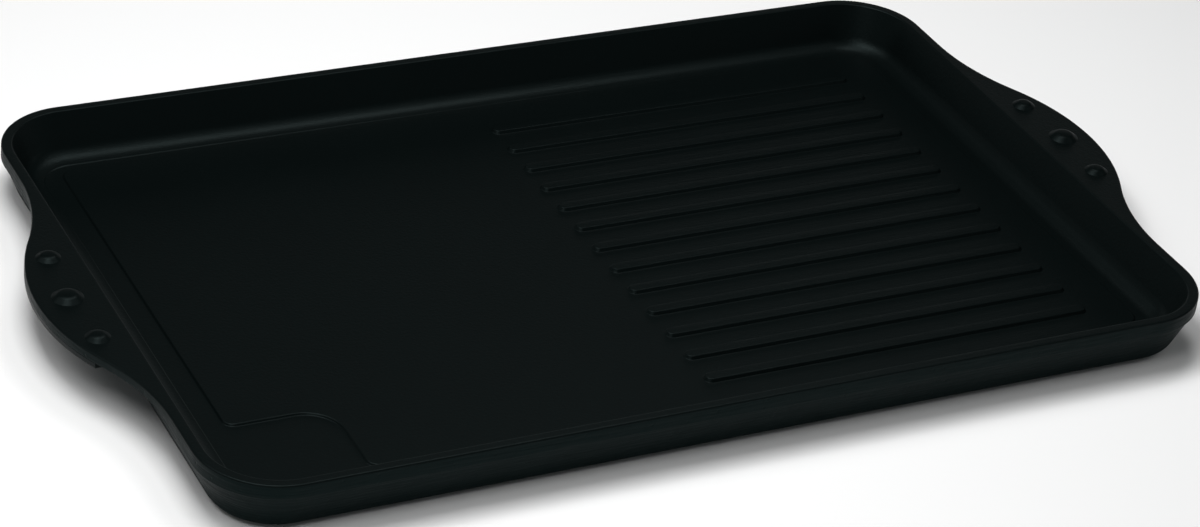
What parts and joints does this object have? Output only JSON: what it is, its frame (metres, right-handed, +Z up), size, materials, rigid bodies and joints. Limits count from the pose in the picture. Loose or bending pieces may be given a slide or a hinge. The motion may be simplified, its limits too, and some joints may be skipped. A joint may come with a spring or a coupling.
{
  "type": "griddle plate",
  "caption": "Cast griddle plate with a smooth half, a ribbed half, a gutter, a corner juice well and two flat side handles on riveted grip pads.",
  "frame": {"origin": "centre of the underside, on the surface that the plate stands on", "axes": "+X along the length to the ribbed half, +Y to the back, away from the juice well, +Z up"},
  "size_m": [0.471, 0.2816, 0.0266],
  "materials": {
    "casting_coating": "cast aluminium under a satin black non-stick coating with a fine grain",
    "pad_coating": "cast aluminium under a satin black coating",
    "rivet_coating": "aluminium rivet, coated black with the plate",
    "base_steel": "ground steel"
  },
  "bodies": {
    "root": {"griddle_casting": "casting_coating", "heat_base": "base_steel", "grip_pad_left": "pad_coating", "grip_pad_right": "pad_coating", "grip_rivet_left_front": "rivet_coating", "grip_rivet_left_middle": "rivet_coating", "grip_rivet_left_back": "rivet_coating", "grip_rivet_right_front": "rivet_coating", "grip_rivet_right_middle": "rivet_coating", "grip_rivet_right_back": "rivet_coating"}
  },
  "joints": []
}
